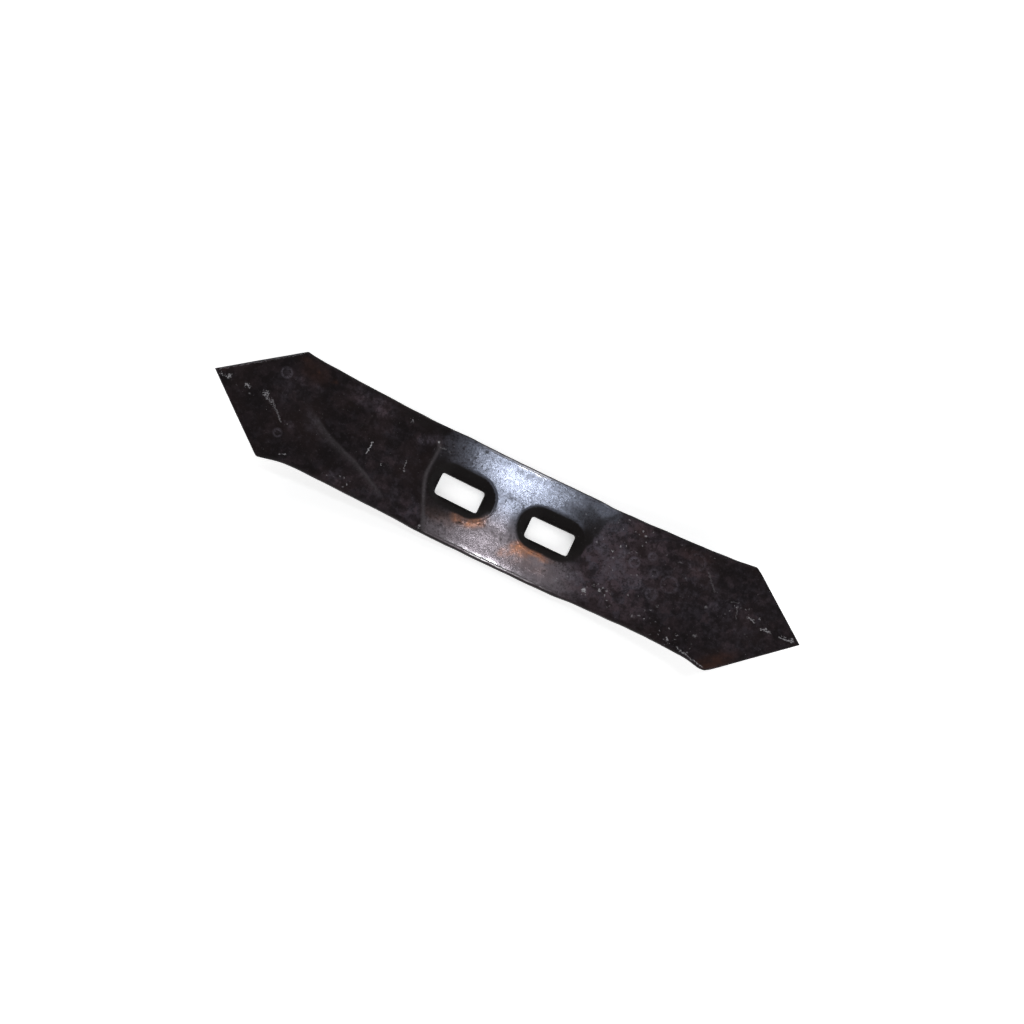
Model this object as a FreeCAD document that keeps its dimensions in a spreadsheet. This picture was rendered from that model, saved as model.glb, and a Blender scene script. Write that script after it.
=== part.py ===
"""Double-ended cultivator point: one bowed, forged steel blade with two countersunk bolt slots.

Frame: X runs along the blade, Y across it, Z up out of the hollow front face. The origin is the
lowest point of the rounded back, midway between the slots. All lengths are in millimetres.
"""
import FreeCAD, Part
import Sketcher
import math
import os

# Driving sizes: alias, value, and what the value measures
SIZES = (
    ("blade_length", 314.0, "tip to tip, over the front face"),
    ("mid_thickness", 8.0, "thickness of the bar in the middle"),
    ("tip_thickness", 3.2, "thickness that the arms are drawn down to at the tips"),
    ("bend_radius", 320.0, "radius of the hollow front face in the middle"),
    ("arm_slope", 10.8, "degrees that each straight arm rises"),
    ("bar_width", 52.5, "width of the bar at its two waists"),
    ("eye_swell", 0.7, "how far each long edge swells beside the slots"),
    ("eye_half_length", 33.0, "from the middle to the end of the full swelling"),
    ("eye_fade", 22.0, "length over which the swelling dies away into the waist"),
    ("shoulder_flare", 2.3, "how far each long edge flares out to a shoulder"),
    ("flare_length", 32.0, "length of that flare along the blade"),
    ("point_length", 36.0, "from a shoulder to the tip, along the blade"),
    ("long_edge_round", 2.0, "radius of the rolled long edges"),
    ("point_round", 1.4, "radius of the shoulder corners and of the points' edges"),
    ("point_land", 1.8, "depth of the blunt edge that is left in front of a bevel"),
    ("bevel_angle", 13.0, "degrees between a bevel on the back and the front face"),
    ("slot_spacing", 50.8, "between the centres of the two slots, on the back"),
    ("slot_length", 24.2, "length of a slot"),
    ("slot_width", 11.8, "width of a slot, for the square neck of a 7/16 inch plow bolt"),
    ("slot_corner", 1.6, "radius of a slot's corners"),
    ("seat_margin", 0.9, "ledge between a slot and the wall of its recess"),
    ("seat_depth", 5.4, "depth of the bolt head's recess at the slot's centre"),
    ("seat_angle", 40.0, "degrees that the recess wall leans from the slot's axis"),
    ("seat_rim_round", 2.4, "radius that blends the recess into the front face"),
)

# Places along the blade, measured from the middle, and half widths, as expressions on the sheet
HALF_LENGTH = "(Sizes.blade_length / 2)"
SHOULDER_DISTANCE = "(Sizes.blade_length / 2 - Sizes.point_length)"
WAIST_HALF_WIDTH = "(Sizes.bar_width / 2)"
SHOULDER_HALF_WIDTH = "(Sizes.bar_width / 2 + Sizes.shoulder_flare)"

# The same places measured along the plane of an arm's front face
TIP_ALONG_ARM = HALF_LENGTH + " / cos(Sizes.arm_slope * 1 deg)"
SHOULDER_ALONG_ARM = SHOULDER_DISTANCE + " / cos(Sizes.arm_slope * 1 deg)"

# The turn round the bend from the middle to a slot
SLOT_TURN = "asin(Sizes.slot_spacing / 2 / (Sizes.bend_radius + Sizes.mid_thickness))"

# The rounded edges take at most this share of the metal's thickness from each face
ROUND_SHARE = 0.43

# Room that cutting shapes reach past the metal
CUT_ROOM = 20.0

# How far a bevel's wedge reaches in from a point's edge, and out past it
BEVEL_REACH = 40.0
BEVEL_LEAD = 5.0

# A slot is cut this many thicknesses of the bar, so that it goes right through
THROUGH = 4.0

# How far the two cuts of a point run on past its shoulders, as a share of the edge
CUT_OVERRUN = 1.5

# How far the curve of a flared long edge runs on past the shoulder before it is cut
FLARE_RUN_ON = 4.0

# How far past its width at the slot's centre a recess's rim may reach
RIM_REACH = 1.0

# Slack for telling that a point lies on a face
TOUCH = 0.01

# The least metal that a cut must take away, in cubic millimetres
LEAST_CUT = 1.0

# The sketcher's numbers for its two axes and for the points of a line or an arc
X_AXIS_LINE = -1
Y_AXIS_LINE = -2
START, END, CENTRE = 1, 2, 3


def make_sheet(doc):
    """Write the driving sizes to a spreadsheet, one named cell each, and return it."""
    sheet = doc.addObject("Spreadsheet::Sheet", "Sizes")
    for row, (alias, value, note) in enumerate(SIZES, start=1):
        sheet.set("A%d" % row, note)
        sheet.set("B%d" % row, str(value))
        sheet.setAlias("B%d" % row, alias)
    doc.recompute()
    return sheet


def origin_plane(body, role):
    """Return the body's own origin plane with this role."""
    return next(feature for feature in body.Origin.OriginFeatures if feature.Role == role)


def add_sketch(body, name, support):
    """Add a sketch to the body on a plane."""
    sketch = body.newObject("Sketcher::SketchObject", name)
    sketch.AttachmentSupport = [(support, "")]
    sketch.MapMode = "FlatFace"
    return sketch


def drive(sketch, name, constraint, expression):
    """Add a constraint, name it and bind its value to an expression on the sheet."""
    index = sketch.addConstraint(constraint)
    sketch.renameConstraint(index, name)
    sketch.setExpression("Constraints." + name, expression)


def point(x, y):
    """Return a point of a sketch."""
    return FreeCAD.Vector(x, y, 0)


def add_path(sketch, points):
    """Add straight lines through the points in order, joined end to end, and return their numbers."""
    lines = []
    for first, last in zip(points, points[1:]):
        lines.append(sketch.addGeometry(Part.LineSegment(first, last), False))
    for before, after in zip(lines, lines[1:]):
        sketch.addConstraint(Sketcher.Constraint("Coincident", before, END, after, START))
    return lines


def add_arc(sketch, centre, radius, first_angle, last_angle):
    """Add an arc that runs anticlockwise between two angles in radians, and return its number."""
    circle = Part.Circle(centre, FreeCAD.Vector(0, 0, 1), radius)
    return sketch.addGeometry(Part.ArcOfCircle(circle, first_angle, last_angle), False)


def add_pocket(body, name, sketch, length_expression):
    """Cut the sketch's area out of the body, half of the length to each side of the sketch."""
    pocket = body.newObject("PartDesign::Pocket", name)
    pocket.Profile = sketch
    pocket.Midplane = True
    pocket.setExpression("Length", length_expression)
    return pocket


def add_mirrors(body, name, cuts, roles):
    """Repeat cuts across one or two of the body's origin planes and make the result the tip."""
    if len(roles) == 1:
        copies = body.newObject("PartDesign::Mirrored", name)
        copies.Originals = cuts
        copies.MirrorPlane = (origin_plane(body, roles[0]), [""])
    else:
        copies = body.newObject("PartDesign::MultiTransform", name)
        copies.Originals = cuts
        steps = []
        for role in roles:
            step = body.newObject("PartDesign::Mirrored", name + "_" + role[:2].lower())
            step.MirrorPlane = (origin_plane(body, role), [""])
            steps.append(step)
        copies.Transformations = steps
    body.Tip = copies
    return copies


def front_height(size, x):
    """Return the height of the front face at a distance from the middle."""
    radius = size["bend_radius"]
    slope = math.radians(size["arm_slope"])
    on_bend = min(abs(x), radius * math.sin(slope))
    on_arm = abs(x) - on_bend
    return size["mid_thickness"] + radius - math.sqrt(radius**2 - on_bend**2) + on_arm * math.tan(slope)


def draw_side_profile(sketch, size):
    """Draw the bowed bar from the side: a hollow front, a rounded back, and arms that thin outwards."""
    slope = math.radians(size["arm_slope"])
    thick = size["mid_thickness"]
    radius = size["bend_radius"]
    centre = point(0, thick + radius)
    reach = size["blade_length"] / 2 + CUT_ROOM / 2
    normal = point(-math.sin(slope), math.cos(slope))
    bend_end = centre - normal * radius
    along = point(math.cos(slope), math.sin(slope))
    tip_front = bend_end + along * ((size["blade_length"] / 2 - bend_end.x) / math.cos(slope))
    tip_back = tip_front - normal * size["tip_thickness"]
    end_front = bend_end + along * ((reach - bend_end.x) / math.cos(slope))
    end_back = end_front - normal * size["tip_thickness"]
    back_end = centre - normal * (radius + thick)
    down = -math.pi / 2
    front_arc = add_arc(sketch, centre, radius, down - slope, down + slope)
    back_arc = add_arc(sketch, centre, radius + thick, down - slope, down + slope)
    corners = [bend_end, end_front, end_back, back_end]
    right = add_path(sketch, corners)
    left = add_path(sketch, [point(-corner.x, corner.y) for corner in corners])
    tip_section = sketch.addGeometry(Part.LineSegment(tip_front, tip_back), True)
    for arc, arc_end, line, line_end in (
        (front_arc, END, right[0], START),
        (front_arc, START, left[0], START),
        (back_arc, END, right[2], END),
        (back_arc, START, left[2], END),
    ):
        sketch.addConstraint(Sketcher.Constraint("Tangent", arc, arc_end, line, line_end))
    sketch.addConstraint(Sketcher.Constraint("Coincident", front_arc, CENTRE, back_arc, CENTRE))
    sketch.addConstraint(Sketcher.Constraint("PointOnObject", front_arc, CENTRE, Y_AXIS_LINE))
    for line, line_end in ((0, END), (1, END)):
        sketch.addConstraint(
            Sketcher.Constraint("Symmetric", right[line], line_end, left[line], line_end, Y_AXIS_LINE)
        )
    sketch.addConstraint(Sketcher.Constraint("Perpendicular", right[0], right[1]))
    sketch.addConstraint(Sketcher.Constraint("Perpendicular", right[0], tip_section))
    sketch.addConstraint(Sketcher.Constraint("PointOnObject", tip_section, START, right[0]))
    sketch.addConstraint(Sketcher.Constraint("PointOnObject", tip_section, END, right[2]))
    drive(sketch, "front_radius", Sketcher.Constraint("Radius", front_arc, radius), "Sizes.bend_radius")
    drive(
        sketch,
        "back_radius",
        Sketcher.Constraint("Radius", back_arc, radius + thick),
        "Sizes.bend_radius + Sizes.mid_thickness",
    )
    drive(
        sketch,
        "bend_centre_height",
        Sketcher.Constraint("DistanceY", front_arc, CENTRE, radius + thick),
        "Sizes.bend_radius + Sizes.mid_thickness",
    )
    drive(
        sketch,
        "arm_rise",
        Sketcher.Constraint("Angle", X_AXIS_LINE, START, right[0], START, slope),
        "Sizes.arm_slope * 1 deg",
    )
    drive(
        sketch,
        "bar_reach",
        Sketcher.Constraint("DistanceX", right[0], END, reach),
        "%s + %s" % (HALF_LENGTH, CUT_ROOM / 2),
    )
    drive(
        sketch,
        "tip_distance",
        Sketcher.Constraint("DistanceX", tip_section, START, tip_front.x),
        HALF_LENGTH,
    )
    drive(
        sketch,
        "tip_thickness",
        Sketcher.Constraint("Distance", tip_section, size["tip_thickness"]),
        "Sizes.tip_thickness",
    )


def draw_long_edge_trim(sketch, size):
    """Draw the area outside one quarter's long edge: level at the slots, a waist, then a flare."""
    waist = size["bar_width"] / 2
    eye = waist + size["eye_swell"]
    shoulder_out = waist + size["shoulder_flare"]
    start = size["eye_half_length"]
    neck = start + size["eye_fade"]
    shoulder_along = size["blade_length"] / 2 - size["point_length"]
    flare_start = shoulder_along - size["flare_length"]
    swell_radius = (size["eye_fade"] ** 2 + size["eye_swell"] ** 2) / (4 * size["eye_swell"])
    turn = math.asin(size["eye_fade"] / 2 / swell_radius)
    flare_radius = (size["flare_length"] ** 2 + size["shoulder_flare"] ** 2) / (2 * size["shoulder_flare"])
    flare_end = shoulder_along + FLARE_RUN_ON
    flare_turn = math.asin((flare_end - flare_start) / flare_radius)
    flare_top = waist + flare_radius * (1 - math.cos(flare_turn))
    reach = size["blade_length"] / 2 + CUT_ROOM
    outside = shoulder_out + CUT_ROOM
    leave = flare_top + (reach - flare_end) * math.tan(flare_turn)
    quarter = math.pi / 2

    level = add_path(sketch, [point(0, eye), point(start, eye)])[0]
    swell_out = add_arc(sketch, point(start, eye - swell_radius), swell_radius, quarter - turn, quarter)
    swell_in = add_arc(
        sketch, point(neck, waist + swell_radius), swell_radius, 3 * quarter - turn, 3 * quarter
    )
    straight = add_path(sketch, [point(neck, waist), point(flare_start, waist)])[0]
    flare = add_arc(
        sketch,
        point(flare_start, waist + flare_radius),
        flare_radius,
        3 * quarter,
        3 * quarter + flare_turn,
    )
    outer = add_path(
        sketch,
        [
            point(flare_end, flare_top),
            point(reach, leave),
            point(reach, outside),
            point(0, outside),
            point(0, eye),
        ],
    )
    shoulder = sketch.addGeometry(Part.Point(point(shoulder_along, shoulder_out)), True)
    sketch.addConstraint(Sketcher.Constraint("PointOnObject", shoulder, START, flare))
    for first, first_end, second, second_end in (
        (level, END, swell_out, END),
        (swell_out, START, swell_in, START),
        (swell_in, END, straight, START),
        (straight, END, flare, START),
        (flare, END, outer[0], START),
    ):
        sketch.addConstraint(Sketcher.Constraint("Tangent", first, first_end, second, second_end))
    sketch.addConstraint(Sketcher.Constraint("Coincident", outer[3], END, level, START))
    sketch.addConstraint(Sketcher.Constraint("Equal", swell_out, swell_in))
    for line in (level, straight, outer[2]):
        sketch.addConstraint(Sketcher.Constraint("Horizontal", line))
    for line in (outer[1], outer[3]):
        sketch.addConstraint(Sketcher.Constraint("Vertical", line))
    sketch.addConstraint(Sketcher.Constraint("PointOnObject", level, START, Y_AXIS_LINE))
    for name, kind, line, line_end, value, expression in (
        ("eye_half_width", "DistanceY", level, START, eye, WAIST_HALF_WIDTH + " + Sizes.eye_swell"),
        ("eye_half_length", "DistanceX", level, END, start, "Sizes.eye_half_length"),
        ("waist_half_width", "DistanceY", straight, START, waist, WAIST_HALF_WIDTH),
        (
            "waist_start",
            "DistanceX",
            straight,
            START,
            neck,
            "Sizes.eye_half_length + Sizes.eye_fade",
        ),
        (
            "flare_start",
            "DistanceX",
            straight,
            END,
            flare_start,
            SHOULDER_DISTANCE + " - Sizes.flare_length",
        ),
        ("shoulder_along", "DistanceX", shoulder, START, shoulder_along, SHOULDER_DISTANCE),
        ("shoulder_out", "DistanceY", shoulder, START, shoulder_out, SHOULDER_HALF_WIDTH),
        (
            "flare_end",
            "DistanceX",
            flare,
            END,
            flare_end,
            "%s + %s" % (SHOULDER_DISTANCE, FLARE_RUN_ON),
        ),
        ("reach", "DistanceX", outer[1], END, reach, "%s + %s" % (HALF_LENGTH, CUT_ROOM)),
        ("outside", "DistanceY", outer[1], END, outside, "%s + %s" % (SHOULDER_HALF_WIDTH, CUT_ROOM)),
    ):
        drive(sketch, name, Sketcher.Constraint(kind, line, line_end, value), expression)


def add_plane(body, name, offset_expression):
    """Add a construction plane, placed from the body's XY plane by an expression."""
    plane = body.newObject("PartDesign::Plane", name)
    plane.AttachmentSupport = [(origin_plane(body, "XY_Plane"), "")]
    plane.MapMode = "FlatFace"
    plane.setExpression("AttachmentOffset", offset_expression)
    return plane


def draw_point_cut(sketch, size):
    """Draw the area beyond one pointed end, on the plane of the arm's front face."""
    slope = math.radians(size["arm_slope"])
    tip = size["blade_length"] / 2 / math.cos(slope)
    point_along = size["point_length"] / math.cos(slope)
    corner_along = tip - CUT_OVERRUN * point_along
    corner_out = CUT_OVERRUN * (size["bar_width"] / 2 + size["shoulder_flare"])
    beyond = tip + CUT_ROOM
    lines = add_path(
        sketch,
        [
            point(tip, 0),
            point(corner_along, corner_out),
            point(beyond, corner_out),
            point(beyond, -corner_out),
            point(corner_along, -corner_out),
            point(tip, 0),
        ],
    )
    sketch.addConstraint(Sketcher.Constraint("Coincident", lines[4], END, lines[0], START))
    sketch.addConstraint(Sketcher.Constraint("PointOnObject", lines[0], START, X_AXIS_LINE))
    sketch.addConstraint(Sketcher.Constraint("Symmetric", lines[0], END, lines[3], END, X_AXIS_LINE))
    sketch.addConstraint(Sketcher.Constraint("Horizontal", lines[1]))
    sketch.addConstraint(Sketcher.Constraint("Horizontal", lines[3]))
    sketch.addConstraint(Sketcher.Constraint("Vertical", lines[2]))
    overrun = "%s * (%s - %s)" % (CUT_OVERRUN, TIP_ALONG_ARM, SHOULDER_ALONG_ARM)
    for name, kind, line_end, value, expression in (
        ("tip", "DistanceX", START, tip, TIP_ALONG_ARM),
        ("corner_along", "DistanceX", END, corner_along, "%s - %s" % (TIP_ALONG_ARM, overrun)),
        ("corner_out", "DistanceY", END, corner_out, "%s * %s" % (CUT_OVERRUN, SHOULDER_HALF_WIDTH)),
    ):
        drive(sketch, name, Sketcher.Constraint(kind, lines[0], line_end, value), expression)
    drive(
        sketch,
        "beyond",
        Sketcher.Constraint("DistanceX", lines[1], END, beyond),
        "%s + %s" % (TIP_ALONG_ARM, CUT_ROOM),
    )


def draw_bevel(sketch, size):
    """Draw the wedge that bevels the back of one cutting edge, square to that edge.

    The sketch's X runs inwards from the edge and its Y out of the front face.
    """
    lean = math.radians(size["bevel_angle"])
    land = -size["point_land"]
    start = land + BEVEL_LEAD * math.tan(lean)
    end = land - BEVEL_REACH * math.tan(lean)
    corners = [point(-BEVEL_LEAD, start), point(BEVEL_REACH, end), point(-BEVEL_LEAD, end)]
    lines = add_path(sketch, corners + corners[:1])
    sketch.addConstraint(Sketcher.Constraint("Coincident", lines[2], END, lines[0], START))
    sketch.addConstraint(Sketcher.Constraint("Horizontal", lines[1]))
    sketch.addConstraint(Sketcher.Constraint("Vertical", lines[2]))
    rise = "tan(Sizes.bevel_angle * 1 deg)"
    for name, kind, line_end, value, expression in (
        ("lead", "DistanceX", START, -BEVEL_LEAD, "-%s" % BEVEL_LEAD),
        ("reach", "DistanceX", END, BEVEL_REACH, "%s" % BEVEL_REACH),
        ("bevel_start", "DistanceY", START, start, "%s * %s - Sizes.point_land" % (BEVEL_LEAD, rise)),
        ("bevel_end", "DistanceY", END, end, "-%s * %s - Sizes.point_land" % (BEVEL_REACH, rise)),
    ):
        drive(sketch, name, Sketcher.Constraint(kind, lines[0], line_end, value), expression)


def draw_slot(sketch, size):
    """Draw a rounded rectangle about the sketch's origin for a bolt slot."""
    length = size["slot_length"] / 2
    width = size["slot_width"] / 2
    corner = size["slot_corner"]
    quarter = math.pi / 2
    sides = []
    for first, last in (
        (point(-length + corner, -width), point(length - corner, -width)),
        (point(length, -width + corner), point(length, width - corner)),
        (point(length - corner, width), point(-length + corner, width)),
        (point(-length, width - corner), point(-length, -width + corner)),
    ):
        sides.append(sketch.addGeometry(Part.LineSegment(first, last), False))
    corners = []
    for index, (along, across) in enumerate(((1, -1), (1, 1), (-1, 1), (-1, -1))):
        centre = point(along * (length - corner), across * (width - corner))
        corners.append(add_arc(sketch, centre, corner, (index - 1) * quarter, index * quarter))
    for index in range(4):
        following = (index + 1) % 4
        sketch.addConstraint(Sketcher.Constraint("Tangent", sides[index], END, corners[index], START))
        sketch.addConstraint(
            Sketcher.Constraint("Tangent", corners[index], END, sides[following], START)
        )
        if following:
            sketch.addConstraint(Sketcher.Constraint("Equal", corners[index], corners[following]))
    sketch.addConstraint(Sketcher.Constraint("Horizontal", sides[0]))
    sketch.addConstraint(Sketcher.Constraint("Vertical", sides[1]))
    sketch.addConstraint(
        Sketcher.Constraint("Symmetric", corners[0], CENTRE, corners[2], CENTRE, X_AXIS_LINE, START)
    )
    drive(sketch, "corner", Sketcher.Constraint("Radius", corners[0], corner), "Sizes.slot_corner")
    drive(
        sketch,
        "half_length",
        Sketcher.Constraint("DistanceX", sides[1], START, length),
        "Sizes.slot_length / 2",
    )
    drive(
        sketch,
        "half_width",
        Sketcher.Constraint("DistanceY", sides[2], START, width),
        "Sizes.slot_width / 2",
    )


def draw_seat(sketch, size):
    """Draw the round-ended floor of a bolt head's recess about the sketch's origin."""
    radius = size["slot_width"] / 2 + size["seat_margin"]
    end = size["slot_length"] / 2 + size["seat_margin"] - radius
    quarter = math.pi / 2
    right = add_arc(sketch, point(end, 0), radius, -quarter, quarter)
    left = add_arc(sketch, point(-end, 0), radius, quarter, 3 * quarter)
    top = add_path(sketch, [point(end, radius), point(-end, radius)])[0]
    bottom = add_path(sketch, [point(-end, -radius), point(end, -radius)])[0]
    for first, second in ((right, top), (top, left), (left, bottom), (bottom, right)):
        sketch.addConstraint(Sketcher.Constraint("Tangent", first, END, second, START))
    sketch.addConstraint(Sketcher.Constraint("Equal", right, left))
    sketch.addConstraint(Sketcher.Constraint("PointOnObject", right, CENTRE, X_AXIS_LINE))
    sketch.addConstraint(
        Sketcher.Constraint("Symmetric", right, CENTRE, left, CENTRE, X_AXIS_LINE, START)
    )
    drive(
        sketch,
        "floor_radius",
        Sketcher.Constraint("Radius", right, radius),
        "Sizes.slot_width / 2 + Sizes.seat_margin",
    )
    drive(
        sketch,
        "floor_end",
        Sketcher.Constraint("DistanceX", right, CENTRE, end),
        "(Sizes.slot_length - Sizes.slot_width) / 2",
    )


def edge_names(shape, wanted):
    """Return the names of the shape's edges that the test picks out."""
    return ["Edge%d" % number for number, edge in enumerate(shape.Edges, start=1) if wanted(edge)]


def samples(edge):
    """Return the start, middle and end of an edge."""
    first, last = edge.ParameterRange
    return [edge.valueAt(value) for value in (first, (first + last) / 2, last)]


def add_fillet(doc, body, name, wanted, radius_expression):
    """Round the edges of the body's present shape that the test picks out."""
    doc.recompute()
    base = body.Tip
    fillet = body.newObject("PartDesign::Fillet", name)
    fillet.Base = (base, edge_names(base.Shape, wanted))
    fillet.setExpression("Radius", radius_expression)
    return fillet


def lies_lengthwise(edge):
    """Tell whether an edge runs mostly along the blade."""
    first, _, last = samples(edge)
    run = last - first
    return abs(run.x) > math.hypot(run.y, run.z)


def build_bar(doc, body, size):
    """Bend and thin the bar, cut its long edges and its two points, and roll the edges."""
    side = add_sketch(body, "side_profile", origin_plane(body, "XZ_Plane"))
    draw_side_profile(side, size)
    bar = body.newObject("PartDesign::Pad", "bowed_bar")
    bar.Profile = side
    bar.Midplane = True
    bar.setExpression("Length", "2 * %s + %s" % (SHOULDER_HALF_WIDTH, CUT_ROOM))

    outline = add_sketch(body, "long_edge_outline", origin_plane(body, "XY_Plane"))
    draw_long_edge_trim(outline, size)
    trim = add_pocket(body, "long_edge_trim", outline, "Sizes.blade_length")
    add_mirrors(body, "long_edges", [trim], ("XZ_Plane", "YZ_Plane"))

    arm_plane = add_plane(
        body,
        "arm_front_plane",
        "placement(vector(0; 0; Sizes.mid_thickness + Sizes.bend_radius"
        " - Sizes.bend_radius / cos(Sizes.arm_slope * 1 deg)); rotation(0; -Sizes.arm_slope; 0))",
    )
    ends = add_sketch(body, "point_outline", arm_plane)
    draw_point_cut(ends, size)
    point_cut = add_pocket(body, "point_cut", ends, "Sizes.blade_length / 2")
    add_mirrors(body, "points", [point_cut], ("YZ_Plane",))

    def is_long_edge(edge):
        """Pick the edges between the long sides and the two faces."""
        nearest = min(abs(p.y) for p in samples(edge))
        return lies_lengthwise(edge) and nearest > size["bar_width"] / 2 - TOUCH

    add_fillet(
        doc,
        body,
        "rolled_long_edges",
        is_long_edge,
        "min(Sizes.long_edge_round; %s * (Sizes.mid_thickness + Sizes.tip_thickness) / 2)" % ROUND_SHARE,
    )
    shoulder_along = size["blade_length"] / 2 - size["point_length"]
    shoulder_inside = size["bar_width"] / 2 + size["shoulder_flare"] - size["long_edge_round"]
    near_shoulder = 2 * size["long_edge_round"]

    def is_shoulder_edge(edge):
        """Pick the edges where a rolled long side meets a point's cut face."""
        points = samples(edge)
        out = min(abs(p.y) for p in points)
        away = max(abs(abs(p.x) - shoulder_along) for p in points)
        return out > shoulder_inside and away < near_shoulder

    add_fillet(
        doc,
        body,
        "rounded_points",
        is_shoulder_edge,
        "min(Sizes.point_round; %s * Sizes.tip_thickness)" % ROUND_SHARE,
    )
    return arm_plane


def bevel_points(body, arm_plane, size):
    """Bevel the back of the four cutting edges."""
    wedge = add_sketch(body, "bevel_wedge", arm_plane)
    wedge.setExpression(
        "AttachmentOffset",
        "placement(vector(%s; 0; 0); rotation(180 + atan((%s - %s) / %s) / 1 deg; 0; 90))"
        % (TIP_ALONG_ARM, TIP_ALONG_ARM, SHOULDER_ALONG_ARM, SHOULDER_HALF_WIDTH),
    )
    draw_bevel(wedge, size)
    bevel = add_pocket(body, "point_bevel", wedge, "Sizes.blade_length / 2")
    add_mirrors(body, "point_bevels", [bevel], ("XZ_Plane", "YZ_Plane"))


def punch_slots(doc, body, size):
    """Punch the two slots and sink a bolt head's recess round each, square to the bent bar."""
    slot_plane = add_plane(
        body,
        "slot_plane",
        "placement(vector(Sizes.bend_radius * sin({turn}); 0; Sizes.mid_thickness + Sizes.bend_radius"
        " * (1 - cos({turn}))); rotation(0; -{turn} / 1 deg; 0))".format(turn=SLOT_TURN),
    )
    opening = add_sketch(body, "slot_opening", slot_plane)
    draw_slot(opening, size)
    slot = add_pocket(body, "slot", opening, "%s * Sizes.mid_thickness" % THROUGH)
    floor = add_sketch(body, "seat_floor", slot_plane)
    floor.setExpression("AttachmentOffset.Base.z", "-Sizes.seat_depth")
    draw_seat(floor, size)
    seat = body.newObject("PartDesign::Pocket", "seat")
    seat.Profile = floor
    seat.Reversed = True
    seat.setExpression("Length", "Sizes.seat_depth + Sizes.mid_thickness")
    seat.setExpression("TaperAngle", "Sizes.seat_angle")
    add_mirrors(body, "slots_and_seats", [slot, seat], ("YZ_Plane",))
    doc.recompute()

    rim_half_width = (
        size["slot_width"] / 2
        + size["seat_margin"]
        + size["seat_depth"] * math.tan(math.radians(size["seat_angle"]))
    )

    def is_rim_edge(edge):
        """Pick the edges where a recess opens into the hollow front face."""
        points = samples(edge)
        off_front = max(abs(p.z - front_height(size, p.x)) for p in points)
        return off_front < TOUCH and max(abs(p.y) for p in points) < rim_half_width + RIM_REACH

    add_fillet(doc, body, "seat_rims", is_rim_edge, "Sizes.seat_rim_round")


def main():
    """Build the blade, check it and write its STEP file."""
    doc = FreeCAD.newDocument("cultivator_point")
    sheet = make_sheet(doc)
    size = {alias: float(sheet.get(alias)) for alias, _, _ in SIZES}
    body = doc.addObject("PartDesign::Body", "Blade")
    body.Label = "point_blade"

    arm_plane = build_bar(doc, body, size)
    bevel_points(body, arm_plane, size)
    punch_slots(doc, body, size)
    doc.recompute()

    for thing in doc.Objects:
        if "Invalid" in thing.State or "Error" in thing.State:
            raise RuntimeError("%s did not build: %s" % (thing.Name, thing.State))
    for cut in (thing for thing in doc.Objects if thing.isDerivedFrom("PartDesign::Pocket")):
        if cut.Shape.Volume > cut.BaseFeature.Shape.Volume - LEAST_CUT:
            raise RuntimeError("%s cut no metal away" % cut.Name)
    shape = body.Shape
    if shape.isNull() or not shape.isValid() or len(shape.Solids) != 1:
        raise RuntimeError("the blade is not one valid solid")
    os.makedirs("parts", exist_ok=True)
    shape.exportStep(os.path.join("parts", body.Label + ".step"))


main()
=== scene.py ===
"""Looks of a double-ended cultivator point: one bowed, forged steel blade with two bolt slots.

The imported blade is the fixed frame: X runs along the blade, Y across it and Z out of the hollow
front face. The forged blade is a copy of its mesh, cut into a fine grid so that the unevenness,
creases and scars that hammer, dies and use left on it can be worked into the metal itself.
"""
import logging
import math
from collections.abc import Callable, Iterable, Sequence
from dataclasses import dataclass
from enum import Enum

import bmesh
import bpy
import numpy as np
from mathutils import Matrix, Vector, noise


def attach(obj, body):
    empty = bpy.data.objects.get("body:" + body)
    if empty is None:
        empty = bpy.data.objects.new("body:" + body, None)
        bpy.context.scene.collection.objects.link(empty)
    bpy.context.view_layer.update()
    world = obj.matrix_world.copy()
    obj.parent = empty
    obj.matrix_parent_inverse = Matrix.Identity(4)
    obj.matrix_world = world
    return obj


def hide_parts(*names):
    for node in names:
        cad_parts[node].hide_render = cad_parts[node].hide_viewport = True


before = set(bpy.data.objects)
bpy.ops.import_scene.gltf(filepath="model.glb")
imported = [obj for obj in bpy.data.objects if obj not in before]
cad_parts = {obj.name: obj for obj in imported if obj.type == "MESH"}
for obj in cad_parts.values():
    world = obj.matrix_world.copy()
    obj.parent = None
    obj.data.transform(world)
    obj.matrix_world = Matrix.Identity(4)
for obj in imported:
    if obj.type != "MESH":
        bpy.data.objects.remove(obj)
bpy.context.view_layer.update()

LOG = logging.getLogger("cultivator_point")
MM = 0.001

Pair = tuple[float, float]
Triple = tuple[float, float, float]
Colour = Triple
Field = np.ndarray
Metal = bmesh.types.BMesh


class Layer(Enum):
    """What is painted on the metal, each as a weight at every point of the mesh."""

    FRONT = "front"
    BURNISH = "burnish"
    # Near-white strips along the long edges: partly polished metal, partly painted highlight where the
    # edge lamps reflect.
    POLISH_AND_HIGHLIGHT = "polish_and_highlight"
    HAZE = "haze"
    TEMPER = "temper"
    RUST = "rust"
    SCUFF = "scuff"
    SPECKLE = "speckle"
    # Painted highlight on the fold's lit lower-left flank, and a lighter line along the bead.
    CREASE = "crease_highlight"
    # Black patches on the scale, and painted shade in and round the bolt-head recesses.
    SOOT_AND_SHADE = "soot_and_shade"


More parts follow.
